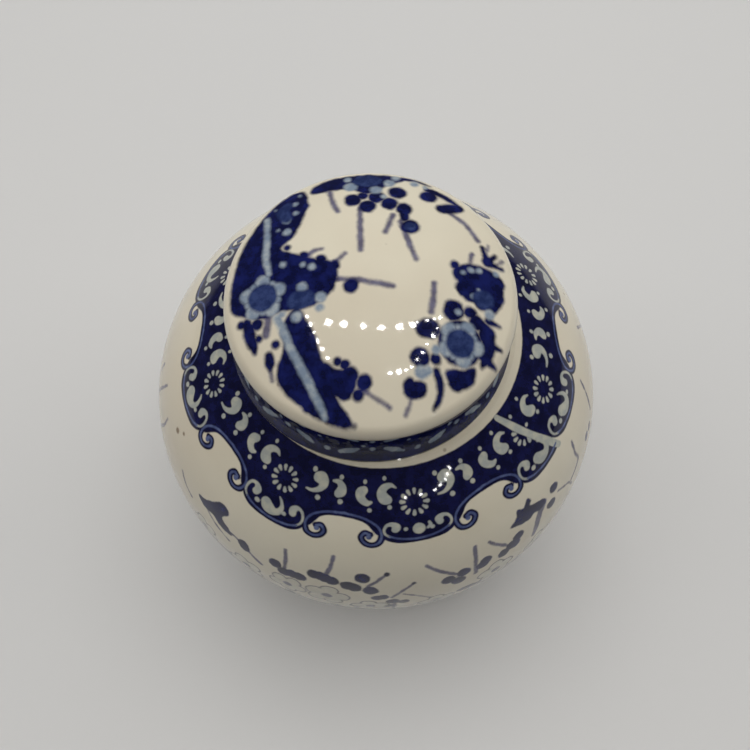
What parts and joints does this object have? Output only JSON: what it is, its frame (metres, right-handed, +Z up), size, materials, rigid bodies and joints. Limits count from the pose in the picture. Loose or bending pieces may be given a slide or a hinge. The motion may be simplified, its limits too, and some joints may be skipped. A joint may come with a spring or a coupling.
{
  "type": "ginger jar",
  "caption": "Round-bellied porcelain ginger jar on a foot ring, with a domed cap lid that lifts straight off a plain seat round its neck.",
  "frame": {"origin": "centre of the foot ring, on the surface that the jar stands on", "axes": "+Z up along the jar's axis, -Y towards the side that is seen first"},
  "size_m": [0.115, 0.115, 0.1244],
  "materials": {
    "jar_glaze": "gloss",
    "lid_glaze": "gloss"
  },
  "bodies": {
    "jar": {"jar_body": "jar_glaze"},
    "lid": {"lid": "lid_glaze"}
  },
  "joints": [
    {"name": "lid_lift", "type": "slide", "parent": "jar", "child": "lid", "axis": [0, 0, 1], "range_m": [0, 0.07]}
  ]
}
